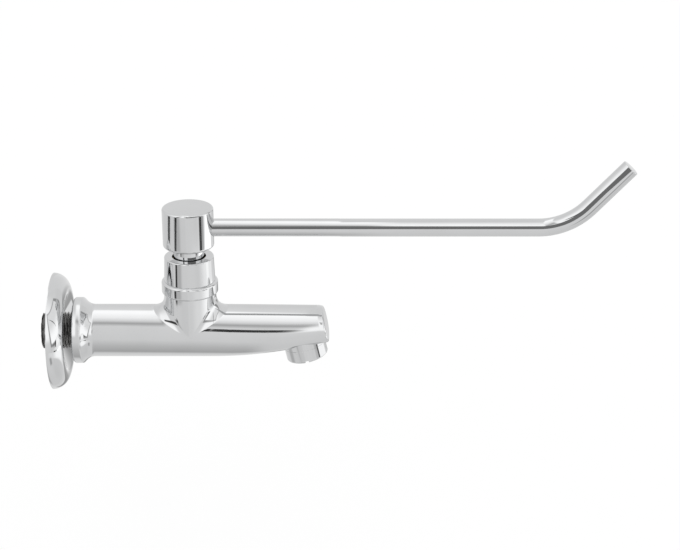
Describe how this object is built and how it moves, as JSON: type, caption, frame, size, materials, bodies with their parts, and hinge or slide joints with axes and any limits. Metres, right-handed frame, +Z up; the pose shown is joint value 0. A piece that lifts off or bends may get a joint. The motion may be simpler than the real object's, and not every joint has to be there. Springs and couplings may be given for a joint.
{
  "type": "elbow lever tap",
  "caption": "Wall-mounted chrome tap with a round body, turret and tilted outlet, a loose dished wall flange and a long bent elbow lever that turns a ceramic cartridge.",
  "frame": {"origin": "on the inlet axis in the wall plane, where the rim of the wall flange lies", "axes": "+X out of the wall along the spout and the lever, +Z up along the turret, +Y to the left of a user who faces the wall"},
  "size_m": [0.3319, 0.0664, 0.1344],
  "materials": {
    "chrome": "polished chrome plating",
    "thread_metal": "dark bare metal thread",
    "brass": "machined brass",
    "rubber": "matt black",
    "ceramic": "lapped off-white ceramic",
    "steel": "plain stainless steel",
    "plastic": "pale grey moulding"
  },
  "bodies": {
    "tap_body": {"body": "chrome", "inlet_tail": "thread_metal", "tail_seal": "rubber", "bonnet_shroud": "chrome", "cartridge_housing": "brass", "cartridge_o_ring": "rubber", "seat_seal": "rubber", "lower_disc": "ceramic", "thrust_washer": "steel", "outlet_nozzle": "chrome", "aerator_washer": "rubber", "aerator_screen": "steel", "aerator_insert": "plastic"},
    "handle": {"handle_hub": "chrome", "lever_rod": "chrome", "hub_grub_screw": "steel", "spindle": "brass", "spindle_o_rings": "rubber", "circlip": "steel", "upper_disc": "ceramic"},
    "flange": {"wall_flange": "chrome"}
  },
  "joints": [
    {"name": "lever_turn", "type": "hinge", "parent": "tap_body", "child": "handle", "pos_m": [0.0782, 0, 0.045], "axis": [0, 0, 1], "range_deg": [0, 90]},
    {"name": "flange_slide", "type": "slide", "parent": "tap_body", "child": "flange", "axis": [1, 0, 0], "range_m": [-0.005, 0.0046]}
  ]
}
